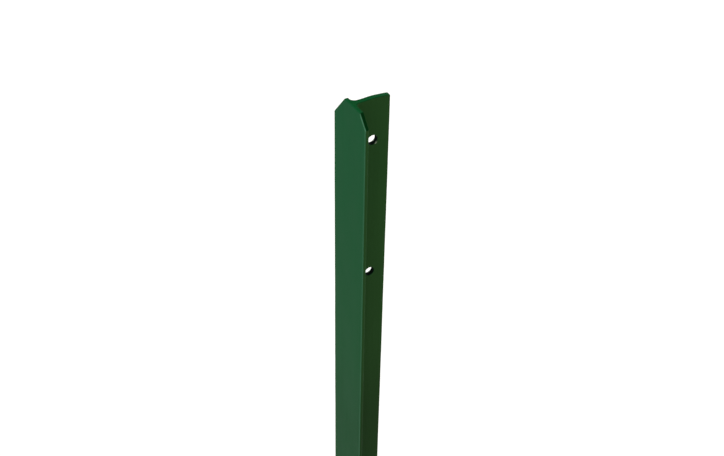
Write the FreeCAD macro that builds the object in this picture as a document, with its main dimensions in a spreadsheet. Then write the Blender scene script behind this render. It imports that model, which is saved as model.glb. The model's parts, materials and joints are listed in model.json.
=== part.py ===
import FreeCAD, Part

import os

import Sketcher

# A coated steel fence post, rolled as one T section: a flat flange in front and a web behind it.
# Millimetres, +Z up. The origin is the centre of the foot's outline, the flange's face looks
# along -Y and the web points along +Y. The head is sheared off at two unequal slants, and two
# wire holes pass through the web from side to side.

SIZES = {
    # The bar as it leaves the rolls: the flange and the web both thin out a little to their edges.
    "post_length": 1250.0,
    "flange_width": 30.0,
    "section_depth": 20.0,
    "flange_edge_thickness": 1.7,
    "flange_root_thickness": 1.9,
    "web_tip_thickness": 2.9,
    "web_root_thickness": 3.1,
    "root_radius": 2.5,
    "toe_radius": 0.7,
    "corner_radius": 0.4,
    # The head, where each corner of the flange is sheared off.
    "left_slant_width": 10.0,
    "left_slant_height": 11.3,
    "right_slant_width": 5.6,
    "right_slant_height": 6.2,
    # The wire holes, with the size left once they are coated.
    "hole_diameter": 5.4,
    "hole_setback": 11.3,
    "first_hole_drop": 21.4,
    "hole_spacing": 77.7,
    "hole_count": 2,
    # The coat rounds each sheared or punched edge.
    "rim_radius": 0.35,
    "end_radius": 0.3,
}

NODE = "post"
SHEET = "sizes"
NEAR = 1e-4


def write_sheet(document):
    """Write each driving size into the sheet, one row with its name and its value."""
    sheet = document.addObject("Spreadsheet::Sheet", SHEET)
    for row, (name, value) in enumerate(SIZES.items(), start=1):
        sheet.set(f"A{row}", name)
        sheet.set(f"B{row}", str(value))
        sheet.setAlias(f"B{row}", name)
    document.recompute()
    return sheet


def new_sketch(body, name, plane):
    """Attach an empty sketch to one of the body's own origin planes."""
    sketch = body.newObject("Sketcher::SketchObject", name)
    support = next(item for item in body.Origin.OriginFeatures if item.Role == plane)
    sketch.AttachmentSupport = [(support, "")]
    sketch.MapMode = "FlatFace"
    return sketch


def add_polygon(sketch, corners):
    """Draw a closed outline through the corners and return its lines' numbers, in order."""
    vectors = [FreeCAD.Vector(x, y, 0) for x, y in corners]
    lines = []
    for start, end in zip(vectors, vectors[1:] + vectors[:1]):
        lines.append(sketch.addGeometry(Part.LineSegment(start, end), False))
    for line, following in zip(lines, lines[1:] + lines[:1]):
        sketch.addConstraint(Sketcher.Constraint("Coincident", line, 2, following, 1))
    return lines


def dimension(sketch, name, kind, places, value, expression):
    """Add one named dimension and tie it to the sheet."""
    number = sketch.addConstraint(Sketcher.Constraint(kind, *places, value))
    sketch.renameConstraint(number, name)
    sketch.setExpression(f"Constraints.{name}", expression)


def draw_section(body, sheet):
    """The sharp T outline; every corner on the right has its mirror image on the left."""
    half_width = sheet.flange_width / 2
    front = -sheet.section_depth / 2
    half_root = sheet.web_root_thickness / 2
    half_tip = sheet.web_tip_thickness / 2
    right_side = [
        (half_width, front),
        (half_width, front + sheet.flange_edge_thickness),
        (half_root, front + sheet.flange_root_thickness),
        (half_tip, front + sheet.section_depth),
    ]
    left_side = [(-x, y) for x, y in reversed(right_side)]
    sketch = new_sketch(body, "section", "XY_Plane")
    side, back, web, tip, web_left, back_left, side_left, face = add_polygon(sketch, right_side + left_side)

    origin, vertical_axis = (-1, 1), -2
    mirrored = [(side, side_left, 2), (back, side_left, 1), (web, back_left, 1), (tip, web_left, 1)]
    for right, left, left_end in mirrored:
        sketch.addConstraint(Sketcher.Constraint("Symmetric", right, 1, left, left_end, vertical_axis))
    sketch.addConstraint(Sketcher.Constraint("Vertical", side))

    across = [
        ("flange_width", (face, 1, face, 2), 2 * half_width),
        ("web_root_thickness", (back_left, 1, back, 2), 2 * half_root),
        ("web_tip_thickness", (tip, 2, tip, 1), 2 * half_tip),
    ]
    for name, places, value in across:
        dimension(sketch, name, "DistanceX", places, value, f"{SHEET}.{name}")
    backwards = [
        ("flange_edge_thickness", side, 2),
        ("flange_root_thickness", back, 2),
        ("section_depth", web, 2),
    ]
    for name, line, end in backwards:
        places = (side, 1, line, end)
        dimension(sketch, name, "DistanceY", places, sheet.get(name), f"{SHEET}.{name}")
    dimension(sketch, "front", "DistanceY", (side, 1, *origin), -front, f"{SHEET}.section_depth / 2")
    return sketch


def pad_bar(body, section):
    """Carry the section up from the foot to the head."""
    bar = body.newObject("PartDesign::Pad", "bar")
    bar.Profile = section
    bar.setExpression("Length", f"{SHEET}.post_length")
    return bar


def long_edges(shape, corners):
    """Name the edges that run up the bar through the given corners of its section."""
    names = []
    for number, edge in enumerate(shape.Edges, start=1):
        start, end = edge.Vertexes[0].Point, edge.Vertexes[-1].Point
        if abs(start.z - end.z) < NEAR:
            continue
        for x, y in corners:
            if abs(start.x - x) < NEAR and abs(start.y - y) < NEAR:
                names.append(f"Edge{number}")
    return names


def round_edges(body, name, base, edges, radius):
    """Round the named edges of a feature to the sheet's radius."""
    fillet = body.newObject("PartDesign::Fillet", name)
    fillet.Base = (base, edges)
    fillet.setExpression("Radius", f"{SHEET}.{radius}")
    body.Document.recompute()
    return fillet


def round_section(body, sheet, bar):
    """The rolled rounding: a fillet in each root, a toe behind each flange edge, and the sharp corners."""
    half_width = sheet.flange_width / 2
    half_root = sheet.web_root_thickness / 2
    half_tip = sheet.web_tip_thickness / 2
    front = -sheet.section_depth / 2
    tip = front + sheet.section_depth
    root = front + sheet.flange_root_thickness
    toe = front + sheet.flange_edge_thickness
    steps = [
        ("root_fillets", [(half_root, root)], "root_radius"),
        ("toe_rounding", [(half_width, toe)], "toe_radius"),
        ("corner_rounding", [(half_width, front), (half_tip, tip)], "corner_radius"),
    ]
    feature = bar
    for name, right_corners, radius in steps:
        corners = right_corners + [(-x, y) for x, y in right_corners]
        edges = long_edges(feature.Shape, corners)
        feature = round_edges(body, name, feature, edges, radius)
    return feature


def cut_through(body, name, sketch):
    """Cut a sketch right through the bar, both ways from its plane."""
    cut = body.newObject("PartDesign::Pocket", name)
    cut.Profile = sketch
    cut.SideType = "Symmetric"
    cut.Type = "ThroughAll"
    body.Document.recompute()
    return cut


def shear_head(body, sheet):
    """Shear each corner off the head of the flange at its own slant."""
    head = sheet.post_length
    sketch = new_sketch(body, "head_slants", "XZ_Plane")
    for side, hand in ((-1, "left"), (1, "right")):
        edge = side * sheet.flange_width / 2
        width = sheet.get(f"{hand}_slant_width")
        height = sheet.get(f"{hand}_slant_height")
        corners = [(edge, head), (edge - side * width, head), (edge, head - height)]
        top, slant, upright = add_polygon(sketch, corners)
        sketch.addConstraint(Sketcher.Constraint("Horizontal", top))
        sketch.addConstraint(Sketcher.Constraint("Vertical", upright))
        inwards = (top, 1, top, 2) if side < 0 else (top, 2, top, 1)
        outwards = (top, 1, -1, 1) if side < 0 else (-1, 1, top, 1)
        dimension(sketch, f"{hand}_width", "DistanceX", inwards, width, f"{SHEET}.{hand}_slant_width")
        dimension(sketch, f"{hand}_height", "DistanceY", (slant, 2, top, 1), height,
                  f"{SHEET}.{hand}_slant_height")
        dimension(sketch, f"{hand}_edge", "DistanceX", outwards, abs(edge), f"{SHEET}.flange_width / 2")
        dimension(sketch, f"{hand}_head", "DistanceY", (-1, 1, top, 1), head, f"{SHEET}.post_length")
    return cut_through(body, "sheared_head", sketch)


def punch_holes(body, sheet):
    """Punch the first wire hole through the web and repeat it down the post."""
    across = sheet.hole_setback - sheet.section_depth / 2
    height = sheet.post_length - sheet.first_hole_drop
    sketch = new_sketch(body, "wire_hole", "YZ_Plane")
    centre = FreeCAD.Vector(across, height, 0)
    circle = sketch.addGeometry(
        Part.Circle(centre, FreeCAD.Vector(0, 0, 1), sheet.hole_diameter / 2), False)
    dimension(sketch, "diameter", "Diameter", (circle,), sheet.hole_diameter, f"{SHEET}.hole_diameter")
    dimension(sketch, "setback", "DistanceX", (-1, 1, circle, 3), across,
              f"{SHEET}.hole_setback - {SHEET}.section_depth / 2")
    dimension(sketch, "height", "DistanceY", (-1, 1, circle, 3), height,
              f"{SHEET}.post_length - {SHEET}.first_hole_drop")
    hole = cut_through(body, "punched_hole", sketch)

    pattern = body.newObject("PartDesign::LinearPattern", "hole_row")
    pattern.Originals = [hole]
    pattern.Direction = (sketch, ["V_Axis"])
    pattern.Reversed = True
    pattern.Mode = "Spacing"
    pattern.setExpression("Offset", f"{SHEET}.hole_spacing")
    pattern.setExpression("Occurrences", f"{SHEET}.hole_count")
    body.Tip = pattern
    body.Document.recompute()
    return pattern


def rim_edges(shape, radius):
    """Name the round edges where the wire holes meet the web's two faces."""
    names = []
    for number, edge in enumerate(shape.Edges, start=1):
        box = edge.BoundBox
        if abs(box.ZLength - 2 * radius) < 0.01 and abs(box.YLength - 2 * radius) < 0.01:
            names.append(f"Edge{number}")
    return names


def end_edges(shape):
    """Name the edges round the head's faces and round the foot."""
    chosen = []
    for face in shape.Faces:
        normal = face.normalAt(0, 0)
        if isinstance(face.Surface, Part.Plane) and abs(normal.z) > 0.1:
            chosen.extend(face.Edges)
    names = []
    for number, edge in enumerate(shape.Edges, start=1):
        if any(edge.isSame(other) for other in chosen):
            names.append(f"Edge{number}")
    return names


def build_post(document, sheet):
    """Build the post, feature by feature, as one solid."""
    body = document.addObject("PartDesign::Body", "post_body")
    body.Label = NODE
    body.Placement = FreeCAD.Placement()
    section = draw_section(body, sheet)
    bar = pad_bar(body, section)
    document.recompute()
    rounded = round_section(body, sheet, bar)
    head = shear_head(body, sheet)
    if head.Shape.Volume >= rounded.Shape.Volume:
        raise RuntimeError("the head's slants cut nothing")
    row = punch_holes(body, sheet)
    if row.Shape.Volume >= head.Shape.Volume:
        raise RuntimeError("the wire holes cut nothing")
    rims = round_edges(body, "hole_rims", row, rim_edges(row.Shape, sheet.hole_diameter / 2), "rim_radius")
    round_edges(body, "end_rounding", rims, end_edges(rims.Shape), "end_radius")
    return body


def check(document, bodies):
    """Stop if any object failed or any body isn't one sound solid."""
    for item in document.Objects:
        if "Invalid" in item.State or "Error" in item.State:
            raise RuntimeError(f"{item.Name} failed: {item.State}")
    for body in bodies:
        shape = body.Shape
        if shape.isNull() or not shape.isValid() or len(shape.Solids) != 1:
            raise RuntimeError(f"{body.Label} isn't one valid solid")


document = FreeCAD.newDocument("fence_post")
post = build_post(document, write_sheet(document))
document.recompute()
check(document, [post])
os.makedirs("parts", exist_ok=True)
post.Shape.exportStep(os.path.join("parts", f"{post.Label}.step"))
print(f"{post.Label}: {post.Shape.Volume:.1f} cubic mm, box {post.Shape.BoundBox}")
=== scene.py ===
"""A green coated steel T fence post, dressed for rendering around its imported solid.

Metres, +Z up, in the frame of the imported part: the flange's face looks along -Y, the web points
along +Y and the post stands on the XY plane. The bar is one surface: a rolled section carried
from foot to head, closed by a sheared head and a square foot, with two wire holes in its web.
"""

import json
import logging
import math
from dataclasses import dataclass, field
from enum import Enum

import bmesh
import bpy
import numpy as np
from mathutils import Matrix, Vector

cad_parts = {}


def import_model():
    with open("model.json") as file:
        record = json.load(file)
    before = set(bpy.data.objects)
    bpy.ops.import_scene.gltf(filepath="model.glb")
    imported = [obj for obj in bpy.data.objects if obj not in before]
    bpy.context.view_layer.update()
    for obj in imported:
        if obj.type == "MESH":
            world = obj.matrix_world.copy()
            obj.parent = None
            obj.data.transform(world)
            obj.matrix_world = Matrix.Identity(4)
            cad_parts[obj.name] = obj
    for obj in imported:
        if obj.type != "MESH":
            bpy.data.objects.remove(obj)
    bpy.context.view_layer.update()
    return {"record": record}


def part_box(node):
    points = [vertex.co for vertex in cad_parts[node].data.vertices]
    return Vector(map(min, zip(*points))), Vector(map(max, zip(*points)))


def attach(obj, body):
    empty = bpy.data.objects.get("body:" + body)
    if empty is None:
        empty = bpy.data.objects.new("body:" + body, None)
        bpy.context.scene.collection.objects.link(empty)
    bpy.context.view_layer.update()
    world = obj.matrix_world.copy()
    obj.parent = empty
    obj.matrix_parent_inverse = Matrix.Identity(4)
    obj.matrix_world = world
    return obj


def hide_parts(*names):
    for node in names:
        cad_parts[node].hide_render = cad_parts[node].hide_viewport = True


log = logging.getLogger("fence_post")

MM = 0.001
NODE = "post"
BODY = "root"
SLOT = "green_coat"
WELD = 0.001 * MM
PHOTO_WIDTH = 724
QUARTER_POINTS = 7
NOISE_SPAN = (0.36, 0.64)


class Hand(Enum):
    """A side of the post, as the sign of X there."""

    LEFT = -1
    RIGHT = 1


class Mark(Enum):
    """What the making or the use of the post did to its coat, and where light and shade are painted on it, as
    the name of a point attribute.
    """

    CUT = "cut"
    # Painted shade: a near-black colour down inside a wire hole.
    BORE = "bore"
    # Painted light: a lighter, yellower coat on faces that look sideways.
    SIDE = "side"
    # Painted highlight: a pale colour along some edges and on the holes' rims.
    RUB = "rub"
    # Painted glint: a pale grey spot on a hole's rim.
    CHIP = "chip"


def unit(vectors: np.ndarray) -> np.ndarray:
    """Vectors over their own lengths, along the last axis."""
    return vectors / np.linalg.norm(vectors, axis=-1, keepdims=True)


def smooth_step(value: np.ndarray, start: float, end: float) -> np.ndarray:
    """0 before start, 1 after end, and 3t^2 - 2t^3 between."""
    share = np.clip((value - start) / (end - start), 0.0, 1.0)
    return share * share * (3.0 - 2.0 * share)


def soft_minimum(first: np.ndarray, second: np.ndarray, blend: float) -> np.ndarray:
    """The lower of two heights, with the ridge between them rounded over the blend's width."""
    share = np.clip(0.5 + 0.5 * (second - first) / blend, 0.0, 1.0)
    return second + (first - second) * share - blend * share * (1.0 - share)


@dataclass(frozen=True)
class Arc:
    """A round stretch of the outline, swept from one heading of its outward normal to another.

    Attributes:
        centre: The arc's centre.
        radius: Its radius, negative where the arc is hollow.
        start: The outward normal's angle at the start, in degrees.
        end: The outward normal's angle at the end, in degrees.
    """

    centre: tuple[float, float]
    radius: float
    start: float
    end: float

    def points(self, count: int) -> tuple[np.ndarray, np.ndarray]:
        """Centre plus radius times the outward normal, which turns evenly from start to end.

        Args:
            count: How many points to give, both ends among them.

        Returns:
            The points and their outward normals.
        """
        angle = np.radians(np.linspace(self.start, self.end, count))
        normal = np.stack([np.cos(angle), np.sin(angle)], axis=1)
        return np.asarray(self.centre) + self.radius * normal, normal


@dataclass(frozen=True)
class Outline:
    """The section's outline as whole arrays, anticlockwise seen from above.

    Attributes:
        points: Places on the outline, one row each.
        normals: The outward unit normal at each point.
        spine: The point of the section's middle line that each outline point faces.
        corner: How much the point belongs to a front corner, from 0 to 1.
    """

    points: np.ndarray
    normals: np.ndarray
    spine: np.ndarray
    corner: np.ndarray

    def inset(self, depth: np.ndarray) -> np.ndarray:
        """The outline moved inwards along its normals, by a depth for each row and point."""
        return self.points[None] - depth[..., None] * self.normals[None]


@dataclass(frozen=True)
class RolledSection:
    """The T section, thinning from its root to its edges, with a fillet in each root.

    Attributes:
        width: Across the flange.
        depth: From the flange's face to the web's tip.
        flange_edge: The flange's thickness at its edge.
        flange_root: Its thickness at the web.
        web_tip: The web's thickness at its tip.
        web_root: Its thickness at the flange.
        root_radius: The fillet between web and flange.
        toe_radius: The rounding behind each flange edge.
        corner_radius: The rounding of every other corner.
        middle_depth: How far behind its face the flange's middle line runs.
    """

    width: float
    depth: float
    flange_edge: float = 1.7 * MM
    flange_root: float = 1.9 * MM
    web_tip: float = 2.9 * MM
    web_root: float = 3.1 * MM
    root_radius: float = 2.5 * MM
    toe_radius: float = 0.7 * MM
    corner_radius: float = 0.4 * MM
    middle_depth: float = 1.105 * MM

    @property
    def front(self) -> float:
        """The Y of the flange's face."""
        return -self.depth / 2

    @property
    def tip(self) -> float:
        """The Y of the web's tip."""
        return self.depth / 2

    @property
    def half_width(self) -> float:
        """The X of the flange's edge."""
        return self.width / 2

    @property
    def flange_tilt(self) -> float:
        """The slope of the flange's back, as a rise towards the web for each unit of X."""
        run = self.half_width - self.web_root / 2
        return (self.flange_root - self.flange_edge) / run

    @property
    def web_tilt(self) -> float:
        """The slope of the web's side, as a loss of half its thickness for each unit of Y."""
        return (self.web_root - self.web_tip) / 2 / (self.depth - self.flange_root)

    def flange_back(self, x: np.ndarray) -> np.ndarray:
        """The Y of the flange's back face at X: a straight slope down from the root to the edge."""
        return self.front + self.flange_edge + (self.half_width - np.abs(x)) * self.flange_tilt

    def half_web(self, y: np.ndarray) -> np.ndarray:
        """Half the web's thickness at Y: a straight taper from the root to the tip."""
        return self.web_tip / 2 + (self.tip - y) * self.web_tilt

    def root_arc(self) -> Arc:
        """The right root's hollow arc, which touches the flange's back and the web's side.

        Its centre stands one radius off both lines, each measured square to its own slope.

        Returns:
            The arc, from the flange to the web.
        """
        across, along = self.flange_tilt, self.web_tilt
        back_at_zero = float(self.flange_back(np.array(0.0))) + self.root_radius * math.hypot(1.0, across)
        side_at_zero = float(self.half_web(np.array(0.0))) + self.root_radius * math.hypot(1.0, along)
        y = (back_at_zero - across * side_at_zero) / (1.0 - across * along)
        x = side_at_zero - along * y
        back_heading = 90.0 - math.degrees(math.atan(across))
        side_heading = math.degrees(math.atan(along))
        return Arc((x, y), -self.root_radius, back_heading, side_heading)

    def toe_arc(self) -> Arc:
        """The rounding behind the right flange edge, tangent to the edge and to the sloping back.

        Returns:
            The arc, from the edge to the back.
        """
        x = self.half_width - self.toe_radius
        lean = math.hypot(1.0, self.flange_tilt)
        y = float(self.flange_back(np.array(x))) - self.toe_radius * lean
        return Arc((x, y), self.toe_radius, 0.0, 90.0 - math.degrees(math.atan(self.flange_tilt)))

    def front_arc(self) -> Arc:
        """The rounding of the right front corner, square to square."""
        x = self.half_width - self.corner_radius
        return Arc((x, self.front + self.corner_radius), self.corner_radius, -90.0, 0.0)

    def tip_arc(self) -> Arc:
        """The rounding of the web's right tip corner, tangent to the tapering side and the tip.

        Returns:
            The arc, from the side to the tip.
        """
        y = self.tip - self.corner_radius
        lean = math.hypot(1.0, self.web_tilt)
        x = float(self.half_web(np.array(y))) - self.corner_radius * lean
        return Arc((x, y), self.corner_radius, math.degrees(math.atan(self.web_tilt)), 90.0)


@dataclass(frozen=True)
class Stations:
    """Where the outline has its points, from the section's middle outwards.

    Attributes:
        arm: X along the flange on each side, beyond the root fillet.
        web: Y along the web's side, beyond the root fillet.
        arm_root: How many steps the spine takes from the middle to the fillet's end on the flange.
        web_root: How many steps it takes from the middle to the fillet's end on the web.
        corner: How many points a small round corner has.
        toe: How many points a toe has.
    """

    arm: dict[Hand, np.ndarray]
    web: np.ndarray
    arm_root: int = 7
    web_root: int = 7
    corner: int = QUARTER_POINTS
    toe: int = 8


def half_outline(section: RolledSection, stations: Stations, hand: Hand) -> Outline:
    """The outline's right half, from the middle of the face round to the middle of the tip.

    The left half is the same half mirrored, with the left side's own stations.

    Args:
        section: The section's sizes.
        stations: Where the points go.
        hand: Whose stations to use. The half is drawn on the right and mirrored for the left.

    Returns:
        The half outline, in order from the face to the tip.
    """
    root, toe, front, tip = section.root_arc(), section.toe_arc(), section.front_arc(), section.tip_arc()
    root_points, root_normals = root.points(stations.arm_root + stations.web_root + 1)
    back_end, side_end = root_points[0], root_points[-1]
    middle = section.front + section.middle_depth

    inner = np.linspace(0.0, back_end[0], stations.arm_root + 1)
    arm = np.concatenate([inner, stations.arm[hand]])
    face = np.stack([arm, np.full_like(arm, section.front)], axis=1)
    face_normals = np.tile([0.0, -1.0], (len(arm), 1))
    arm_spine = np.stack([arm, np.full_like(arm, middle)], axis=1)

    corner_points, corner_normals = front.points(stations.corner)
    toe_points, toe_normals = toe.points(stations.toe)
    edge_points = np.concatenate([corner_points, toe_points])
    edge_normals = np.concatenate([corner_normals, toe_normals])
    edge_spine = np.tile(arm_spine[-1], (len(edge_points), 1))

    outer = stations.arm[hand][::-1]
    back = np.stack([outer, section.flange_back(outer)], axis=1)
    back_normals = np.tile(toe_normals[-1], (len(outer), 1))
    back_spine = arm_spine[::-1][: len(outer)]

    web_inner = np.linspace(middle, side_end[1], stations.web_root + 1)[1:]
    root_spine = np.concatenate([
        arm_spine[: stations.arm_root + 1][::-1],
        np.stack([np.zeros_like(web_inner), web_inner], axis=1),
    ])

    side = np.stack([section.half_web(stations.web), stations.web], axis=1)
    side_normals = np.tile(root_normals[-1], (len(side), 1))
    side_spine = np.stack([np.zeros_like(stations.web), stations.web], axis=1)

    tip_points, tip_normals = tip.points(stations.corner)
    tip_points = np.concatenate([tip_points, [[0.0, section.tip]]])
    tip_normals = np.concatenate([tip_normals, [[0.0, 1.0]]])
    tip_spine = np.tile(side_spine[-1], (len(tip_points), 1))

    points = np.concatenate([face, edge_points, back, root_points, side, tip_points])
    normals = [face_normals, edge_normals, back_normals, root_normals, side_normals, tip_normals]
    spine = [arm_spine, edge_spine, back_spine, root_spine, side_spine, tip_spine]
    corner = np.zeros(len(points))
    corner[len(face) - 1: len(face) + stations.corner] = [0.5, *np.linspace(1.0, 0.0, stations.corner)]
    mirror = np.array([hand.value, 1.0])
    return Outline(points * mirror, np.concatenate(normals) * mirror, np.concatenate(spine) * mirror, corner)


def whole_outline(section: RolledSection, stations: Stations) -> Outline:
    """Both halves joined, with the left one run backwards so that the whole turns one way.

    Args:
        section: The section's sizes.
        stations: Where the points go.

    Returns:
        The closed outline, without its first point repeated.
    """
    right = half_outline(section, stations, Hand.RIGHT)
    left = half_outline(section, stations, Hand.LEFT)

    def joined(name: str) -> np.ndarray:
        """The right half and then the left half backwards, without the two shared ends."""
        return np.concatenate([getattr(right, name), getattr(left, name)[::-1][1:-1]])

    return Outline(joined("points"), joined("normals"), joined("spine"), joined("corner"))


@dataclass(frozen=True)
class Head:
    """The sheared head: a flat top between two slants, with rounded ridges.

    The shear drew the web's end up a little between its root and its tip.

    Attributes:
        height: The Z of the flat top.
        half_width: The X of the flange's edge.
        tip: The Y of the web's tip, where its end is down again.
        root: The Y where the web's end starts to rise.
        peak: The Y where it has risen.
        crown: How far it rises.
        widths: How much of the flange each slant takes.
        heights: How far down each slant reaches.
        ridge: The width over which each ridge is rounded.
        top_cut: How roughly the flat top is cut, where a slant is 1 and a clean cut is 0.5.
    """

    height: float
    half_width: float
    tip: float
    root: float = -5.5 * MM
    peak: float = 2.0 * MM
    crown: float = 0.42 * MM
    widths: dict[Hand, float] = field(default_factory=lambda: {Hand.LEFT: 10.0 * MM, Hand.RIGHT: 5.6 * MM})
    heights: dict[Hand, float] = field(default_factory=lambda: {Hand.LEFT: 11.3 * MM, Hand.RIGHT: 6.2 * MM})
    ridge: float = 0.3 * MM
    top_cut: float = 0.5

    def ridge_at(self, hand: Hand) -> float:
        """How far from the middle a slant starts."""
        return self.half_width - self.widths[hand]

    def slope(self, hand: Hand) -> float:
        """How steeply a slant falls."""
        return self.heights[hand] / self.widths[hand]

    def slants(self, x: np.ndarray) -> np.ndarray:
        """The slants' height against the flat top at X: the lowest plane, with the ridges softened.

        Args:
            x: Places across the flange.

        Returns:
            The height at each place, which is 0 on the flat top and less on a slant.
        """
        level = np.zeros_like(x)
        for hand in Hand:
            fall = (self.ridge_at(hand) - hand.value * x) * self.slope(hand)
            level = soft_minimum(level, fall, self.ridge)
        return level

    def surface(self, x: np.ndarray, y: np.ndarray) -> np.ndarray:
        """The head's Z: the flat top with its slants, plus a smooth rise less a parabola along the web.

        Args:
            x: Places across the flange.
            y: Places along the web.

        Returns:
            The height at each place.
        """
        rise = smooth_step(y, self.root, self.peak)
        fall = np.clip((y - self.peak) / (self.tip - self.peak), 0.0, 1.0) ** 2
        return self.height + self.slants(x) + self.crown * (rise - fall)

    def steepness(self, x: np.ndarray) -> np.ndarray:
        """The length of the slanted surface over its run: the root of 1 plus the slope squared.

        Args:
            x: Places across the flange.

        Returns:
            The ratio at each place, which is 1 on the flat.
        """
        step = 0.01 * MM
        rise = (self.slants(x + step) - self.slants(x - step)) / (2.0 * step)
        return np.hypot(1.0, rise)

    def roughness(self, x: np.ndarray) -> np.ndarray:
        """How roughly the metal is cut at X, rough on the slants and clean on the flat top; the rough slants
        also take painted shade.
        """
        return self.top_cut + (1.0 - self.top_cut) * smooth_step(-self.slants(x), 0.0, self.ridge)

    def lowest(self) -> float:
        """The Z where the longer slant ends."""
        return self.height - max(self.heights.values())


@dataclass(frozen=True)
class Foot:
    """The square-cut foot."""

    def surface(self, x: np.ndarray, y: np.ndarray) -> np.ndarray:
        """The foot's Z, which is 0 all over."""
        return np.zeros_like(x + y)

    def steepness(self, x: np.ndarray) -> np.ndarray:
        """The foot has no slope, so this is 1 all over."""
        return np.ones_like(x)

    def roughness(self, x: np.ndarray) -> np.ndarray:
        """The foot is cut as roughly as a slant all over."""
        return np.ones_like(x)


@dataclass(frozen=True)
class WireHole:
    """A round hole through the web, with a coat-rounded rim on each face.

    Attributes:
        y: Where its axis crosses the web.
        z: How high its axis lies.
        radius: The bore's radius.
        coat: How far the coat stands in from it.
        chipped: How strongly a painted glint lies on its rim, from 0 to 1.
        rim: The radius of the rim's rounding.
        window: Half the side of the square of web that the hole's own surface takes over.
        steps: How many cells the window has along each side.
        face_points: How many points lie between the window's border and the rim.
        crowding: The power that draws those points towards the rim, where 1 spaces them evenly.
        bore_points: How many points run through the bore, both rims among them.
        rim_highlight: How strongly a painted highlight lies on the rim's low back part, from 0 to 1.
        rim_highlight_power: The power that keeps the highlight to its part of the rim.
        chip_power: The power that keeps the glint to its own part of the rim, which is shorter.
    """

    y: float
    z: float
    radius: float
    coat: float = 0.12 * MM
    chipped: float = 0.0
    rim: float = 0.2 * MM
    window: float = 4.5 * MM
    steps: int = 16
    face_points: int = 8
    crowding: float = 0.7
    bore_points: int = 7
    rim_highlight: float = 0.5
    rim_highlight_power: int = 4
    chip_power: int = 40

    @property
    def opening(self) -> float:
        """The radius left inside the coat."""
        return self.radius - self.coat

    def columns(self) -> np.ndarray:
        """The Y of the window's columns."""
        return np.linspace(self.y - self.window, self.y + self.window, self.steps + 1)

    def rows(self) -> np.ndarray:
        """The Z of the window's rows."""
        return np.linspace(self.z - self.window, self.z + self.window, self.steps + 1)

    def border(self) -> np.ndarray:
        """The window's four sides in the YZ plane, one after the other.

        Returns:
            The border's points, once round.
        """
        y, z = self.columns(), self.rows()
        low, high = np.full_like(y, z[0]), np.full_like(y, z[-1])
        near, far = np.full_like(z, y[0]), np.full_like(z, y[-1])
        sides = ((y, low), (far, z), (y[::-1], high), (near, z[::-1]))
        return np.concatenate([np.stack(side, axis=1)[:-1] for side in sides])

    def surface(self, section: RolledSection) -> np.ndarray:
        """The hole's whole surface: web face, rim, bore, rim and the other web face.

        The first parameter goes through the web and the second goes once round. On a face each
        point slides from the window's border to the rim's circle, in a rim it follows a quarter
        circle, and in the bore it keeps the radius.

        Args:
            section: The section whose web the hole goes through.

        Returns:
            Points by row, column and coordinate, with the first column repeated at the end.
        """
        border = self.border()
        border = np.concatenate([border, border[:1]])
        centre = np.array([self.y, self.z])
        spoke = unit(border - centre)
        share = np.linspace(0.0, 1.0, self.face_points)[:, None, None] ** self.crowding
        face = border[None] * (1.0 - share) + (centre + (self.opening + self.rim) * spoke)[None] * share
        face_x = section.half_web(face[..., 0])

        turn = np.radians(np.linspace(0.0, 90.0, QUARTER_POINTS))[1:, None]
        reach = self.opening + self.rim * (1.0 - np.sin(turn))
        rim = centre + reach[..., None] * spoke[None]
        rim_x = section.half_web(rim[..., 0]) - self.rim * (1.0 - np.cos(turn))

        inside = np.linspace(1.0, -1.0, self.bore_points)[1:-1, None]
        bore = np.tile(rim[-1], (len(inside), 1, 1))
        bore_x = inside * rim_x[-1]

        flat = np.concatenate([face, rim, bore, rim[::-1], face[::-1]])
        across = np.concatenate([face_x, rim_x, bore_x, -rim_x[::-1], -face_x[::-1]])
        return np.concatenate([across[..., None], flat], axis=2)

    def marks(self, section: RolledSection, grid: np.ndarray) -> dict[Mark, np.ndarray]:
        """The marks on the hole's surface: punched metal, painted shade down the bore, and a painted
        highlight and glint on the rim.

        The highlight and the glint lie on the low back part of the rim,
        as a power of the cosine between that way and the point's own. Depths are in rims.

        Args:
            section: The section whose web the hole goes through.
            grid: The hole's surface.

        Returns:
            Each mark by row and column.
        """
        arm = grid[..., 1:] - np.array([self.y, self.z])
        spoke = unit(arm)
        # How far each spoke points back along the web and down, which places the painted highlight and glint.
        pull = np.clip((spoke[..., 0] - spoke[..., 1]) / math.sqrt(2.0), 0.0, 1.0)
        inward = (section.half_web(grid[..., 1]) - np.abs(grid[..., 0])) / self.rim
        outside = (np.linalg.norm(arm, axis=-1) - self.opening) / self.rim
        on_rim = smooth_step(outside, 1.6, 0.4) * smooth_step(inward, 4.0, 1.5)
        return {
            Mark.CUT: smooth_step(inward, 0.5, 1.5),
            # Painted shade down the bore.
            Mark.BORE: smooth_step(inward, 0.8, 2.0),
            # Painted highlight and painted glint on the rim's low back part.
            Mark.RUB: self.rim_highlight * on_rim * pull ** self.rim_highlight_power,
            Mark.CHIP: self.chipped * on_rim * pull ** self.chip_power,
        }


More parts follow.
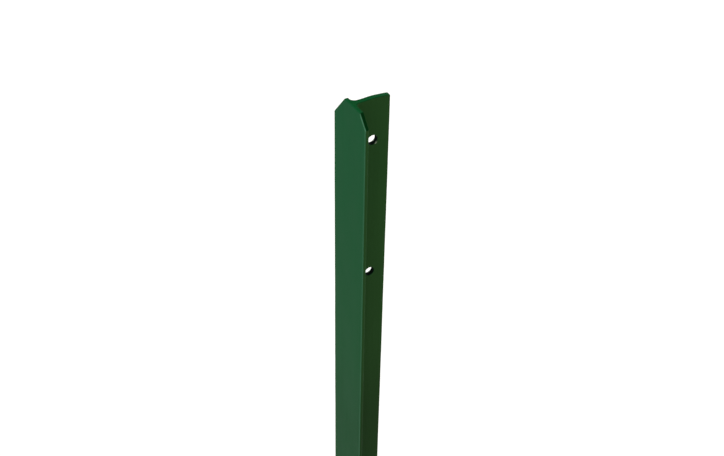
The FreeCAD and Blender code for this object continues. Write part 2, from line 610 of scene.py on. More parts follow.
class Surface:
    """A mesh gathered from grids of points, then welded into one closed skin."""

    def __init__(self) -> None:
        """Start with no grids."""
        self.points: list[np.ndarray] = []
        self.faces: list[np.ndarray] = []
        self.marks: dict[Mark, list[np.ndarray]] = {mark: [] for mark in Mark}
        self.count = 0

    def add(self, grid: np.ndarray, marks: dict[Mark, np.ndarray], keep: np.ndarray | None = None) -> None:
        """Add a grid of points as quads.

        Args:
            grid: Points by row, column and coordinate.
            marks: The marks that the grid has, from 0 to 1 by row and column.
            keep: Which cells to use, by row and column, or all of them.
        """
        rows, columns = grid.shape[:2]
        index = np.arange(rows * columns).reshape(rows, columns) + self.count
        quads = np.stack([index[:-1, :-1], index[:-1, 1:], index[1:, 1:], index[1:, :-1]], axis=-1)
        if keep is not None:
            quads = quads[keep]
        self.points.append(grid.reshape(-1, 3))
        self.faces.append(quads.reshape(-1, 4))
        for mark, values in self.marks.items():
            values.append(np.broadcast_to(marks.get(mark, 0.0), (rows, columns)).reshape(-1))
        self.count += rows * columns

    def mesh(self, name: str) -> bpy.types.Mesh:
        """Weld the grids along their shared borders and turn every face outwards.

        Args:
            name: The mesh's name.

        Returns:
            The closed mesh, with each mark as a point attribute.
        """
        mesh = bpy.data.meshes.new(name)
        mesh.from_pydata(np.concatenate(self.points).tolist(), [], np.concatenate(self.faces).tolist())
        for mark, values in self.marks.items():
            write_mark(mesh, mark, np.concatenate(values))
        work = bmesh.new()
        work.from_mesh(mesh)
        bmesh.ops.remove_doubles(work, verts=work.verts, dist=WELD)
        bmesh.ops.recalc_face_normals(work, faces=work.faces)
        if work.calc_volume(signed=True) < 0.0:
            bmesh.ops.reverse_faces(work, faces=work.faces)
        loose = sum(1 for edge in work.edges if not edge.is_manifold)
        work.to_mesh(mesh)
        work.free()
        if loose:
            raise ValueError(f"{name} has {loose} open or crossed edges")
        mesh.update()
        return mesh


def write_mark(mesh: bpy.types.Mesh, mark: Mark, values: np.ndarray) -> None:
    """Write a mark's value at each point, making its attribute where the mesh has none."""
    layer = mesh.attributes.get(mark.value) or mesh.attributes.new(mark.value, "FLOAT", "POINT")
    layer.data.foreach_set("value", values.astype(np.float32))


def read_mark(mesh: bpy.types.Mesh, mark: Mark) -> np.ndarray:
    """Read a mark back.

    Args:
        mesh: The mesh.
        mark: The mark.

    Returns:
        Its value at each point.
    """
    values = np.empty(len(mesh.vertices), np.float32)
    mesh.attributes[mark.value].data.foreach_get("value", values)
    return values.astype(float)


def vertex_places(mesh: bpy.types.Mesh) -> np.ndarray:
    """Read the mesh's points.

    Args:
        mesh: The mesh.

    Returns:
        Their places, one row each.
    """
    places = np.empty(len(mesh.vertices) * 3, np.float32)
    mesh.vertices.foreach_get("co", places)
    return places.reshape(-1, 3).astype(float)


def weighted_normals(mesh: bpy.types.Mesh) -> np.ndarray:
    """Each point's normal as the sum of its faces' normals times their areas.

    Large flat faces outweigh the narrow strips of a rounded edge, so they stay flat.

    Args:
        mesh: The mesh.

    Returns:
        The unit normals, one row each.
    """
    corners = np.empty(len(mesh.loops), np.int32)
    mesh.loops.foreach_get("vertex_index", corners)
    sizes = np.empty(len(mesh.polygons), np.int32)
    mesh.polygons.foreach_get("loop_total", sizes)
    areas = np.empty(len(mesh.polygons), np.float32)
    mesh.polygons.foreach_get("area", areas)
    facing = np.empty(len(mesh.polygons) * 3, np.float32)
    mesh.polygons.foreach_get("normal", facing)
    pull = np.repeat(facing.reshape(-1, 3) * areas[:, None], sizes, axis=0)
    total = np.zeros((len(mesh.vertices), 3))
    np.add.at(total, corners, pull)
    return unit(total)


def roll_marks(places: np.ndarray) -> np.ndarray:
    """How far the rolls and the coat leave the surface from true, as a sum of slow waves.

    Each wave is its height times the sine of its start plus pi for each half wave passed.

    Args:
        places: Points, one row each.

    Returns:
        The height above the true surface at each point.
    """
    height_half_waves_start = (
        (0.020 * MM, (0.0, 0.0, 17.0), 0.4),
        (0.012 * MM, (90.0, 40.0, 43.0), 1.7),
        (0.010 * MM, (-160.0, 210.0, 71.0), 2.9),
        (0.006 * MM, (240.0, -130.0, 133.0), 0.9),
    )
    height = np.zeros(len(places))
    for size, half_waves, start in height_half_waves_start:
        height += size * np.sin(places @ np.asarray(half_waves) * math.pi + start)
    return height


@dataclass
class Post:
    """The whole post: one rolled, sheared, punched and coated bar.

    Attributes:
        section: The rolled section.
        head: The sheared head.
        holes: The wire holes.
        end_radius: The coat's rounding where an end meets the sides.
        lead_radius: The rounding where the flat top meets the flange's face, drawn over by the shear.
        lead_in: The width over which the rounding swells to the lead radius, inwards from each ridge.
        lip: How far down from the head its rubbed edge reaches.
        row_height: The spacing of the rows up the bar.
        corner_highlight: How strongly a painted highlight lies along the front right corner, from 0 to 1.
    """

    section: RolledSection
    head: Head
    holes: list[WireHole]
    end_radius: float = 0.3 * MM
    lead_radius: float = 0.8 * MM
    lead_in: float = 1.2 * MM
    lip: float = 1.0 * MM
    row_height: float = 6.0 * MM
    corner_highlight: float = 0.5

    def stations(self) -> Stations:
        """Spread the outline's points, closer by the head's ridges and along the holes' windows.

        Returns:
            The stations.
        """
        near = np.array([-1.2, -0.6, -0.3, -0.15, 0.0, 0.15, 0.3, 0.6, 1.2]) * MM
        arm_steps, steps_below, steps_above = 11, 3, 5
        (start, _), (_, low) = self.section.root_arc().points(2)[0]
        end = self.section.half_width - self.section.toe_radius
        arm = {}
        for hand in Hand:
            ridge = self.head.ridge_at(hand) + near
            spread = np.linspace(start, end, arm_steps + 1)[1:]
            clear = np.abs(spread - self.head.ridge_at(hand)) > 1.5 * near[-1]
            arm[hand] = np.sort(np.concatenate([spread[clear], ridge[ridge > start + 0.05 * MM]]))
        high = self.section.tip_arc().points(2)[0][0][1]
        columns = self.holes[0].columns()
        below = np.linspace(low, columns[0], steps_below + 1)[1:-1]
        above = np.linspace(columns[-1], high, steps_above + 1)[1:-1]
        return Stations(arm=arm, web=np.concatenate([below, columns, above]))

    def heights(self) -> np.ndarray:
        """The level rows up the bar: even steps, with the holes' own rows where their windows are.

        Returns:
            The heights, from the foot up.
        """
        start, end = self.end_radius, self.head.lowest() - 2.0 * self.lip
        rows = [np.array([start])]
        for stop in [*(hole.rows() for hole in sorted(self.holes, key=lambda hole: hole.z)), np.array([end])]:
            count = max(2, math.ceil((stop[0] - rows[-1][-1]) / self.row_height))
            rows += [np.linspace(rows[-1][-1], stop[0], count + 1)[1:-1], stop]
        return np.concatenate(rows)

    def wall(self, outline: Outline, heights: np.ndarray) -> np.ndarray:
        """The bar's sides: the outline carried up, with the last rows spread to meet the head.

        Up to the last level row each row is the outline at that height. From there the rows
        share the way to the lip evenly, each point by its own distance, and the last ones
        follow the head's edge at set depths below it.

        Args:
            outline: The section's outline.
            heights: The level rows.

        Returns:
            Points by row, column and coordinate, with the first column repeated at the end.
        """
        x, y = outline.points.T
        steep = self.head.steepness(x)
        top = self.head.surface(x, y) - self.edge_radius(outline, self.head) * steep
        neck = top - self.lip * steep
        neck_rows, lip_rows = 3, (0.6, 0.3, 0.0)
        share = np.linspace(0.0, 1.0, neck_rows + 1)[1:, None]
        below_top = np.array(lip_rows)[:, None] * self.lip
        level = np.broadcast_to(heights[:, None], (len(heights), len(x)))
        z = np.concatenate([level, heights[-1] + (neck - heights[-1]) * share, top - below_top * steep])
        flat = np.broadcast_to(outline.points, (len(z), *outline.points.shape))
        grid = np.concatenate([flat, z[..., None]], axis=2)
        return np.concatenate([grid, grid[:, :1]], axis=1)

    def edge_radius(self, outline: Outline, end: Head | Foot) -> np.ndarray:
        """The rounding where the sides meet an end, at each outline point.

        It swells from the end radius to the lead radius between the head's ridges, on the face.

        Args:
            outline: The section's outline.
            end: The head or the foot.

        Returns:
            The radius at each point.
        """
        if isinstance(end, Foot):
            return np.full(len(outline.points), self.end_radius)
        on_face = outline.normals[:, 1] < -0.99
        swell = on_face.astype(float)
        for hand in Hand:
            swell *= smooth_step(end.ridge_at(hand) - hand.value * outline.points[:, 0], 0.0, self.lead_in)
        return self.end_radius + (self.lead_radius - self.end_radius) * swell

    def end_cap(self, outline: Outline, end: Head | Foot,
                outwards: int) -> tuple[np.ndarray, dict[Mark, np.ndarray]]:
        """An end: a quarter turn in from the sides, then level ground to the section's spine.

        In the turn the outline moves in by r(1 - cos a) while its height comes within
        r(1 - sin a) of the end's surface. Beyond it each point slides to the spine.

        Args:
            outline: The section's outline.
            end: The head or the foot.
            outwards: 1 for the head and -1 for the foot.

        Returns:
            Points by row, column and coordinate, and the cap's marks by row and column.
        """
        turn = np.radians(np.linspace(0.0, 90.0, QUARTER_POINTS))[:, None]
        radius = self.edge_radius(outline, end)
        ring = outline.inset(radius * (1.0 - np.cos(turn)))
        ground_rows = 3
        across = np.linspace(0.0, 1.0, ground_rows + 1)[1:, None, None]
        ground = ring[-1] * (1.0 - across) + outline.spine * across
        flat = np.concatenate([ring, ground])
        fall = np.concatenate([1.0 - np.sin(turn), np.zeros((len(across), 1))])
        drop = radius * end.steepness(outline.points[:, 0]) * fall
        z = end.surface(flat[..., 0], flat[..., 1]) - outwards * drop
        grid = np.concatenate([flat, z[..., None]], axis=2)
        cut = smooth_step(1.0 - fall, 0.2, 1.0) * end.roughness(flat[..., 0])
        # Painted highlight along the front edge of the head's right slant.
        rub = np.concatenate([np.cos(turn), np.zeros((len(across), 1))]) * self.slant_highlight(outline, end)
        marks = {mark: np.concatenate([values, values[:, :1]], axis=1)
                 for mark, values in ((Mark.CUT, cut), (Mark.RUB, rub))}
        return np.concatenate([grid, grid[:, :1]], axis=1), marks

    def slant_highlight(self, outline: Outline, end: Head | Foot) -> np.ndarray:
        """How strongly an end's edge takes a painted highlight: all of it along the front of the head's right
        slant.

        Args:
            outline: The section's outline.
            end: The head or the foot.

        Returns:
            The highlight at each outline point, from 0 to 1.
        """
        if isinstance(end, Foot):
            return np.zeros(len(outline.points))
        on_slant = smooth_step(outline.points[:, 0] - end.ridge_at(Hand.RIGHT), -0.2 * MM, 0.4 * MM)
        return on_slant * smooth_step(-outline.normals[:, 1], 0.2, 0.9)

    def wall_marks(self, outline: Outline, wall: np.ndarray) -> dict[Mark, np.ndarray]:
        """The wall's marks: a weak painted highlight along the front right corner, and a stronger one along
        the slant's edge.

        Args:
            outline: The section's outline.
            wall: The bar's sides.

        Returns:
            Each mark by row and column.
        """
        corner = np.where(outline.points[:, 0] > 0.0, outline.corner, 0.0) * self.corner_highlight
        depth = (wall[-1, :, 2] - wall[..., 2]) / self.head.steepness(wall[..., 0])
        edge = np.append(self.slant_highlight(outline, self.head), 0.0) * smooth_step(depth, self.lip, 0.3 * self.lip)
        return {Mark.RUB: np.maximum(edge, np.append(corner, corner[0]))}

    def outside_windows(self, wall: np.ndarray) -> np.ndarray:
        """Which of the wall's cells lie outside every hole's window.

        Args:
            wall: The bar's sides.

        Returns:
            True for each cell that stays, by row and column.
        """
        middle = (wall[:-1, :-1] + wall[1:, 1:]) / 2
        keep = np.ones(middle.shape[:2], bool)
        for hole in self.holes:
            inside = np.abs(middle[..., 1] - hole.y) < hole.window
            inside &= np.abs(middle[..., 2] - hole.z) < hole.window
            keep &= ~inside
        return keep

    def mesh(self) -> bpy.types.Mesh:
        """Gather the sides, both ends and the holes into one closed skin, then leave the roll marks.

        Returns:
            The skin, with its marks.
        """
        outline = whole_outline(self.section, self.stations())
        wall = self.wall(outline, self.heights())
        skin = Surface()
        skin.add(wall, self.wall_marks(outline, wall), self.outside_windows(wall))
        for end, outwards in ((self.head, 1), (Foot(), -1)):
            skin.add(*self.end_cap(outline, end, outwards))
        for hole in self.holes:
            grid = hole.surface(self.section)
            skin.add(grid, hole.marks(self.section, grid))
        mesh = skin.mesh(f"{NODE}_skin")
        facing = weighted_normals(mesh)
        # Painted side light: faces that look along X take a lighter, yellower coat, standing in for how light
        # falls on them.
        write_mark(mesh, Mark.SIDE, facing[:, 0] ** 2 * (1.0 - read_mark(mesh, Mark.CUT)))
        places = vertex_places(mesh)
        places += facing * roll_marks(places)[:, None]
        mesh.vertices.foreach_set("co", places.astype(np.float32).ravel())
        mesh.update()
        mesh.polygons.foreach_set("use_smooth", np.ones(len(mesh.polygons), bool))
        mesh.normals_split_custom_set_from_vertices(weighted_normals(mesh).tolist())
        return mesh

    def build(self, finish: "GreenCoat") -> bpy.types.Object:
        """Make the post's object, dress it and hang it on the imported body.

        Args:
            finish: The coat that dresses it.

        Returns:
            The post.
        """
        piece = bpy.data.objects.new(f"{NODE}_coated", self.mesh())
        bpy.context.scene.collection.objects.link(piece)
        piece.data.materials.append(finish.material())
        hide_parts(NODE)
        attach(piece, BODY)
        return piece


@dataclass(frozen=True)
class Grain:
    """The grain of a noise.

    Attributes:
        scale: How many grains a metre it has along X, Y and Z.
        detail: How many finer layers it has.
        keep: How much of its strength each finer layer keeps.
    """

    scale: tuple[float, float, float]
    detail: float
    keep: float = 0.55


@dataclass(frozen=True)
class Film:
    """A colour laid thinly over the coat, which grows towards the ground, for the soil's tint and for painted
    shade.

    Attributes:
        colour: Its colour.
        start: The height where it begins.
        full: The lower height from which it has its whole share.
        share: That share.
    """

    colour: tuple[float, float, float]
    start: float
    full: float
    share: float


class Nodes:
    """A short way to write a node tree."""

    def __init__(self, tree: bpy.types.NodeTree) -> None:
        """Take an empty tree.

        Args:
            tree: The tree to fill.
        """
        tree.nodes.clear()
        self.tree = tree

    def add(self, kind: str, inputs: dict[str, object] | None = None, **settings: object) -> bpy.types.Node:
        """Add a node, set its own settings, then set or link its inputs.

        Args:
            kind: The node's type.
            inputs: A value, or an output socket to link, for each named input.
            **settings: The node's own settings.

        Returns:
            The node.
        """
        node = self.tree.nodes.new(kind)
        for name, value in settings.items():
            setattr(node, name, value)
        for name, value in (inputs or {}).items():
            self.feed(node.inputs[name], value)
        return node

    def feed(self, socket: bpy.types.NodeSocket, value: object) -> None:
        """Link an output socket to an input, or set the input to a plain value.

        Args:
            socket: The input.
            value: An output socket, or the value.
        """
        if isinstance(value, bpy.types.NodeSocket):
            self.tree.links.new(value, socket)
        else:
            socket.default_value = value

    def math(self, operation: str, first: object, second: object = 0.0) -> bpy.types.NodeSocket:
        """Work out one operation on two numbers.

        Args:
            operation: The operation, such as MULTIPLY.
            first: A number, or an output socket.
            second: A number, or an output socket.

        Returns:
            The result.
        """
        node = self.add("ShaderNodeMath", operation=operation)
        for socket, value in zip(node.inputs, (first, second)):
            self.feed(socket, value)
        return node.outputs[0]

    def between(self, value: bpy.types.NodeSocket, start: tuple[float, float],
                end: tuple[float, float]) -> bpy.types.NodeSocket:
        """A value carried straight from one range to another, and held at the range's ends.

        Args:
            value: The value.
            start: The range that it is read in.
            end: The range that it is carried to.

        Returns:
            The carried value.
        """
        node = self.add("ShaderNodeMapRange", {"Value": value, "From Min": start[0], "From Max": start[1],
                                               "To Min": end[0], "To Max": end[1]})
        return node.outputs["Result"]

    def mark(self, mark: Mark) -> bpy.types.NodeSocket:
        """A mark's value at the shaded point."""
        return self.add("ShaderNodeAttribute", attribute_name=mark.value).outputs["Fac"]

    def ramp(self, value: bpy.types.NodeSocket, low: tuple[float, float, float],
             high: tuple[float, float, float]) -> bpy.types.NodeSocket:
        """A colour between two, spread over the span that a noise mostly keeps to.

        Args:
            value: The noise.
            low: The colour at its low end.
            high: The colour at its high end.

        Returns:
            The colour.
        """
        node = self.add("ShaderNodeValToRGB", {"Fac": value})
        for stop, position, colour in zip(node.color_ramp.elements, NOISE_SPAN, (low, high)):
            stop.position = position
            stop.color = (*colour, 1.0)
        return node.outputs["Color"]

    def blend(self, share: bpy.types.NodeSocket, first: object, second: object) -> bpy.types.NodeSocket:
        """A colour that goes from the first to the second as the share goes from 0 to 1.

        Args:
            share: The share of the second colour.
            first: A colour, or an output socket.
            second: A colour, or an output socket.

        Returns:
            The colour.
        """
        node = self.add("ShaderNodeMix", {"Factor": share}, data_type="RGBA")
        colours = [socket for socket in node.inputs if socket.type == "RGBA"]
        for socket, value in zip(colours, (first, second)):
            self.feed(socket, value if isinstance(value, bpy.types.NodeSocket) else (*value, 1.0))
        return next(socket for socket in node.outputs if socket.type == "RGBA")

    def noise(self, place: bpy.types.NodeSocket, grain: Grain) -> bpy.types.NodeSocket:
        """Noise with its own scale along each axis of the piece.

        Args:
            place: The coordinates.
            grain: Its grain.

        Returns:
            The noise, about 0.5 on average.
        """
        stretched = self.add("ShaderNodeMapping", {"Vector": place, "Scale": grain.scale})
        node = self.add("ShaderNodeTexNoise", {"Vector": stretched.outputs["Vector"], "Scale": 1.0,
                                               "Detail": grain.detail, "Roughness": grain.keep})
        return node.outputs["Fac"]


@dataclass(frozen=True)
class GreenCoat:
    """A satin green coat over rolled steel, with light and shade painted into some of its colours.

    Attributes:
        face: The coat's colour on the flange's faces, where it lies thick and where it lies thin.
        side: The same two colours, lighter and yellower, on faces that look sideways: painted light, standing
            in for how light falls on them.
        cropped: The colour on metal that is cut cleanly.
        notched: The darker colour on metal that is cut roughly: painted shade, which lies on the slants and
            the foot.
        bore: The near-black colour down inside a wire hole: painted shade.
        rubbed: The pale colour of the painted highlight on some edges and rims.
        steel: The pale grey colour of the painted glint on a hole's rim.
        soil: The tint that the lower part has taken on.
        low_shade: Painted shade: a near-black film that darkens the post towards the bottom, more on faces
            that look sideways.
        clouds: The grain of the coat's slow changes of colour.
        lines: The grain of the lines that the rolls drew along the bar.
        streaks: The lines' share in the colour, where the clouds have the rest.
        soil_patches: The soil's strength where the clouds are 0, to which they add their own.
        pimples: The grain of the orange peel.
        rub_patches: The highlight's strength where the pimples are 0, and what they add to it at 1.
        tears: The grain of the torn metal in a cut.
        gloss: How strongly it mirrors, on the shader's own scale.
        roughness: The middle of its roughness.
        unevenness: How far its roughness strays from that.
        sheen_span: The span of the clouds over which its roughness changes.
        cut_roughness: How much rougher a cut is.
        peel: The height of its orange peel.
        drawn: The height of the rolls' lines, as a share of the peel.
        torn: The height of the torn metal in a rough cut, as a multiple of the peel.
    """

    face: tuple[tuple[float, float, float], ...] = ((0.0063, 0.0670, 0.0222), (0.0073, 0.0742, 0.0248))
    side: tuple[tuple[float, float, float], ...] = ((0.0305, 0.1050, 0.0315), (0.0347, 0.1156, 0.0353))
    cropped: tuple[float, float, float] = (0.0010, 0.0670, 0.0150)
    notched: tuple[float, float, float] = (0.0010, 0.0440, 0.0085)
    bore: tuple[float, float, float] = (0.0010, 0.0050, 0.0030)
    rubbed: tuple[float, float, float] = (0.0620, 0.1850, 0.1000)
    steel: tuple[float, float, float] = (0.6000, 0.7000, 0.6000)
    soil: Film = Film((0.0200, 0.0090, 0.0010), start=1.23, full=1.04, share=0.22)
    low_shade: Film = Film((0.0010, 0.0010, 0.0005), start=1.10, full=1.045, share=0.12)
    clouds: Grain = Grain((55.0, 55.0, 18.0), 3.0)
    lines: Grain = Grain((520.0, 520.0, 9.0), 2.0)
    streaks: float = 0.4
    soil_patches: float = 0.17
    pimples: Grain = Grain((1100.0, 1100.0, 1100.0), 2.0)
    rub_patches: tuple[float, float] = (0.5, 0.8)
    tears: Grain = Grain((2600.0, 2600.0, 2600.0), 3.0)
    gloss: float = 0.018
    roughness: float = 0.50
    unevenness: float = 0.05
    sheen_span: tuple[float, float] = (0.3, 0.7)
    cut_roughness: float = 0.15
    peel: float = 0.02 * MM
    drawn: float = 0.8
    torn: float = 2.0

    def weathered(self, nodes: Nodes, place: bpy.types.NodeSocket, clouds: bpy.types.NodeSocket,
                  lines: bpy.types.NodeSocket) -> bpy.types.NodeSocket:
        """The coat's colour, mottled and streaked, with painted light on faces that look sideways, the soil
        over it, and painted shade towards the bottom.

        Args:
            nodes: The tree.
            place: The coordinates.
            clouds: The clouds' noise.
            lines: The lines' noise.

        Returns:
            The colour.
        """
        side = nodes.mark(Mark.SIDE)
        mottle = nodes.math("MULTIPLY", clouds, 1.0 - self.streaks)
        tone = nodes.math("ADD", mottle, nodes.math("MULTIPLY", lines, self.streaks))
        # Painted light: faces that look sideways take the lighter, yellower side colours.
        colour = nodes.blend(side, nodes.ramp(tone, *self.face), nodes.ramp(tone, *self.side))
        height = nodes.add("ShaderNodeSeparateXYZ", {"Vector": place}).outputs["Z"]
        # The soil tints the lower part; painted shade then darkens it towards the bottom, up to twice as much
        # on sideways faces.
        for film, patches in ((self.soil, nodes.math("ADD", clouds, self.soil_patches)),
                              (self.low_shade, nodes.math("ADD", side, 1.0))):
            share = nodes.between(height, (film.start, film.full), (0.0, film.share))
            colour = nodes.blend(nodes.math("MULTIPLY", share, patches), colour, film.colour)
        return colour

    def worked(self, nodes: Nodes, colour: bpy.types.NodeSocket, cut: bpy.types.NodeSocket,
               pimples: bpy.types.NodeSocket) -> bpy.types.NodeSocket:
        """The colour with what cutting and punching did to it, and with painted light and shade, each over
        the one before.

        The lower half of the cut's range goes from the coat to cropped metal, and the upper half
        from cropped metal to the darker rough-cut colour, which is painted shade.
        from cropped to notched.

        Args:
            nodes: The tree.
            colour: The coat's colour.
            cut: The cut's mark.
            pimples: The orange peel's noise, which breaks the highlight up.

        Returns:
            The colour.
        """
        twice = nodes.math("MULTIPLY", cut, 2.0)
        rougher = nodes.math("MAXIMUM", nodes.math("SUBTRACT", twice, 1.0), 0.0)
        # Painted shade: the roughest cuts, on the slants and the foot, take the darker colour.
        cut_colour = nodes.blend(rougher, self.cropped, self.notched)
        colour = nodes.blend(nodes.math("MINIMUM", twice, 1.0), colour, cut_colour)
        # Painted highlight: a pale colour on edges and rims, broken up by the orange peel.
        base, gain = self.rub_patches
        patches = nodes.math("ADD", nodes.math("MULTIPLY", pimples, gain), base)
        colour = nodes.blend(nodes.math("MULTIPLY", nodes.mark(Mark.RUB), patches), colour, self.rubbed)
        # Painted shade: the bore turns near black.
        colour = nodes.blend(nodes.mark(Mark.BORE), colour, self.bore)
        # Painted glint: a pale grey spot on the upper hole's rim.
        return nodes.blend(nodes.mark(Mark.CHIP), colour, self.steel)

    def material(self) -> bpy.types.Material:
        """Build the coat's nodes: its colour, its uneven sheen, its orange peel and its torn cuts.

        Returns:
            The material.
        """
        material = bpy.data.materials.new(SLOT)
        material.use_nodes = True
        nodes = Nodes(material.node_tree)
        place = nodes.add("ShaderNodeTexCoord").outputs["Object"]
        cut = nodes.mark(Mark.CUT)
        clouds, lines = nodes.noise(place, self.clouds), nodes.noise(place, self.lines)
        pimples, tears = nodes.noise(place, self.pimples), nodes.noise(place, self.tears)

        colour = self.worked(nodes, self.weathered(nodes, place, clouds, lines), cut, pimples)
        smooth, rough = self.roughness - self.unevenness, self.roughness + self.unevenness
        sheen = nodes.between(clouds, self.sheen_span, (smooth, rough))
        relief = nodes.math("ADD", pimples, nodes.math("MULTIPLY", lines, self.drawn))
        torn = nodes.math("MULTIPLY", nodes.math("MULTIPLY", tears, cut), self.torn)
        bump = nodes.add("ShaderNodeBump", {"Height": nodes.math("ADD", relief, torn),
                                            "Distance": self.peel, "Strength": 1.0})
        shader = nodes.add("ShaderNodeBsdfPrincipled", {
            "Base Color": colour,
            "Roughness": nodes.math("ADD", sheen, nodes.math("MULTIPLY", cut, self.cut_roughness)),
            "Normal": bump.outputs["Normal"],
            "Specular IOR Level": self.gloss,
        })
        nodes.add("ShaderNodeOutputMaterial", {"Surface": shader.outputs["BSDF"]})
        return material


@dataclass(frozen=True)
class Softbox:
    """A broad soft light from one direction, far enough away to light the whole post evenly.

    Attributes:
        name: Its name.
        azimuth: Where it stands round the post, in degrees: 0 is in front and 90 is on the right.
        elevation: How high it stands, in degrees.
        spread: How wide it looks from the post, in degrees.
        level: Its light on a face square to it, where 1 renders a colour as written.
        colour: The tint of its light.
        distance: How far off it hangs, which changes nothing in its light.
    """

    name: str
    azimuth: float
    elevation: float
    spread: float
    level: float
    colour: tuple[float, float, float]
    distance: float = 3.0

    def hang(self) -> bpy.types.Object:
        """Hang the light on its own direction from the post's foot, facing it.

        Returns:
            The light.
        """
        light = bpy.data.lights.new(self.name, "SUN")
        light.angle = math.radians(self.spread)
        light.energy = self.level * math.pi
        light.color = self.colour
        lamp = bpy.data.objects.new(self.name, light)
        turn, rise = math.radians(self.azimuth), math.radians(self.elevation)
        away = Vector((math.sin(turn) * math.cos(rise), -math.cos(turn) * math.cos(rise), math.sin(rise)))
        lamp.location = away * self.distance
        lamp.rotation_euler = away.to_track_quat("Z", "Y").to_euler()
        bpy.context.scene.collection.objects.link(lamp)
        return lamp


@dataclass(frozen=True)
class Viewpoint:
    """Where the photograph was taken from.

    Attributes:
        azimuth: The camera's turn round the post, in degrees.
        pitch: How far it looks down, in degrees.
        roll: How far it is turned about its own line of sight, in degrees.
        focal: The focal length as a number of picture pixels.
        across: How far the head's middle lies to the right of the line of sight.
        rise: How far it lies above the line of sight.
        away: How far in front of the camera it lies.
        sensor: The width of the film, in millimetres.
        reach: The nearest and the farthest distance that the camera draws.
    """

    azimuth: float = 60.647
    pitch: float = 36.743
    roll: float = 1.018
    focal: float = 988.0
    across: float = -5.423 * MM
    rise: float = 55.07 * MM
    away: float = 436.8 * MM
    sensor: float = 36.0
    reach: tuple[float, float] = (0.01, 100.0)

    def camera(self, head: Vector) -> bpy.types.Object:
        """Set up the camera from the place of the flange's head in its view.

        Args:
            head: The middle of the flange's top front edge.

        Returns:
            The camera.
        """
        turn, dip, lean = (math.radians(angle) for angle in (self.azimuth, self.pitch, self.roll))
        forward = Vector((-math.sin(turn) * math.cos(dip), math.cos(turn) * math.cos(dip), -math.sin(dip)))
        level = Vector((math.cos(turn), math.sin(turn), 0.0))
        upright = level.cross(forward)
        right = math.cos(lean) * level + math.sin(lean) * upright
        up = math.cos(lean) * upright - math.sin(lean) * level
        lens = bpy.data.cameras.new("viewpoint")
        lens.sensor_width = self.sensor
        lens.lens = self.focal / PHOTO_WIDTH * self.sensor
        lens.clip_start, lens.clip_end = self.reach
        camera = bpy.data.objects.new("viewpoint", lens)
        place = head - right * self.across - up * self.rise - forward * self.away
        axes = Matrix((right, up, -forward)).transposed().to_4x4()
        camera.matrix_world = Matrix.Translation(place) @ axes
        bpy.context.scene.collection.objects.link(camera)
        bpy.context.scene.camera = camera
        return camera


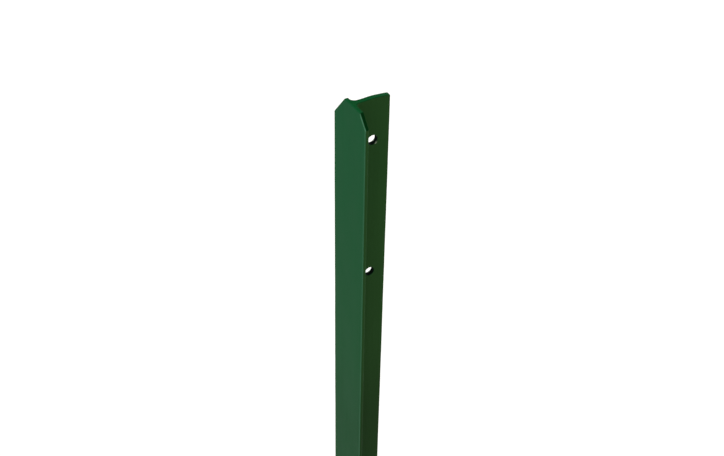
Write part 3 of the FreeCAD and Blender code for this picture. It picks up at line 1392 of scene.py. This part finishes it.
@dataclass(frozen=True)
class Studio:
    """A plain pale floor under soft light, with a white surround.

    Attributes:
        floor_size: The side of the floor.
        floor_seen: The floor's colour as it is seen.
        floor_bounce: Its colour as it throws light back on the post.
        floor_glow: What is added to the floor as it is seen, so that it reads as white.
        surround: The tint of the light from all round.
        surround_level: Its strength.
        lights: The soft lights.
    """

    floor_size: float = 12.0
    floor_seen: float = 0.95
    floor_bounce: float = 0.50
    floor_glow: float = 0.24
    surround: tuple[float, float, float] = (1.0, 0.93, 0.66)
    surround_level: float = 0.45
    lights: tuple[Softbox, ...] = (
        Softbox("key", -40.0, 30.0, 35.0, 1.02, (0.80, 0.86, 1.0)),
        Softbox("fill", -155.0, 8.0, 60.0, 0.40, (0.85, 0.90, 1.0)),
    )

    @staticmethod
    def seen(nodes: Nodes) -> bpy.types.NodeSocket:
        """Tell what is seen from what only lights.

        Args:
            nodes: The tree.

        Returns:
            1 for what is seen directly, in gloss or through glass, and 0 for the rest.
        """
        path = nodes.add("ShaderNodeLightPath")
        either = nodes.math("MAXIMUM", path.outputs["Is Camera Ray"], path.outputs["Is Glossy Ray"])
        return nodes.math("MAXIMUM", either, path.outputs["Is Transmission Ray"])

    def world(self) -> None:
        """Light the scene evenly, and show white where the camera, gloss or glass looks past it."""
        world = bpy.data.worlds.new("surround")
        world.use_nodes = True
        nodes = Nodes(world.node_tree)
        soft = nodes.add("ShaderNodeBackground", {"Color": (*self.surround, 1.0),
                                                  "Strength": self.surround_level})
        white = nodes.add("ShaderNodeBackground", {"Color": (1.0, 1.0, 1.0, 1.0), "Strength": 1.0})
        mixed = nodes.add("ShaderNodeMixShader", {"Fac": self.seen(nodes)})
        nodes.tree.links.new(soft.outputs["Background"], mixed.inputs[1])
        nodes.tree.links.new(white.outputs["Background"], mixed.inputs[2])
        nodes.add("ShaderNodeOutputWorld", {"Surface": mixed.outputs["Shader"]})
        bpy.context.scene.world = world

    def floor(self) -> bpy.types.Object:
        """Lay the floor at the post's foot: matt, white to the eye, and keeping the post's shadow.

        Returns:
            The floor.
        """
        half = self.floor_size / 2
        corners = [(-half, -half, 0), (half, -half, 0), (half, half, 0), (-half, half, 0)]
        mesh = bpy.data.meshes.new("floor")
        mesh.from_pydata(corners, [], [range(len(corners))])
        floor = bpy.data.objects.new("floor", mesh)
        bpy.context.scene.collection.objects.link(floor)
        material = bpy.data.materials.new("pale_floor")
        material.use_nodes = True
        nodes = Nodes(material.node_tree)
        seen = self.seen(nodes)
        tint = nodes.blend(seen, (self.floor_bounce,) * 3, (self.floor_seen,) * 3)
        matt = nodes.add("ShaderNodeBsdfDiffuse", {"Color": tint})
        glow = nodes.add("ShaderNodeEmission", {"Color": (1.0, 1.0, 1.0, 1.0),
                                                "Strength": nodes.math("MULTIPLY", seen, self.floor_glow)})
        both = nodes.add("ShaderNodeAddShader")
        nodes.tree.links.new(matt.outputs["BSDF"], both.inputs[0])
        nodes.tree.links.new(glow.outputs["Emission"], both.inputs[1])
        nodes.add("ShaderNodeOutputMaterial", {"Surface": both.outputs["Shader"]})
        mesh.materials.append(material)
        return floor

    def build(self) -> None:
        """Lay the floor, light the surround and hang the lights."""
        self.world()
        self.floor()
        for light in self.lights:
            light.hang()
        bpy.context.scene.view_settings.view_transform = "Standard"


def wire_holes(record: dict) -> list[WireHole]:
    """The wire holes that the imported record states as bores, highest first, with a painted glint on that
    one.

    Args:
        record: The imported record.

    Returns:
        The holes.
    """
    bores = [mount for mount in record["mounts"] if mount["kind"] == "bore"]
    bores.sort(key=lambda mount: -mount["pos_m"][2])
    holes = []
    for bore in bores:
        _, y, z = bore["pos_m"]
        # The highest hole takes the painted glint.
        holes.append(WireHole(y, z, bore["dims"]["r_mm"] * MM, chipped=float(not holes)))
    return holes


def main() -> None:
    """Load the frame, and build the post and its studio."""
    logging.basicConfig(level=logging.INFO, format="%(name)s: %(message)s")
    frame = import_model()
    low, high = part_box(NODE)
    size = high - low
    section = RolledSection(width=size.x, depth=size.y)
    head = Head(high.z, section.half_width, section.tip)
    post = Post(section, head, wire_holes(frame["record"]))
    piece = post.build(GreenCoat())
    log.info("%s: %d points, %d faces", piece.name, len(piece.data.vertices), len(piece.data.polygons))
    Viewpoint().camera(Vector((0.0, section.front, high.z)))
    Studio().build()


if __name__ == "__main__":
    main()
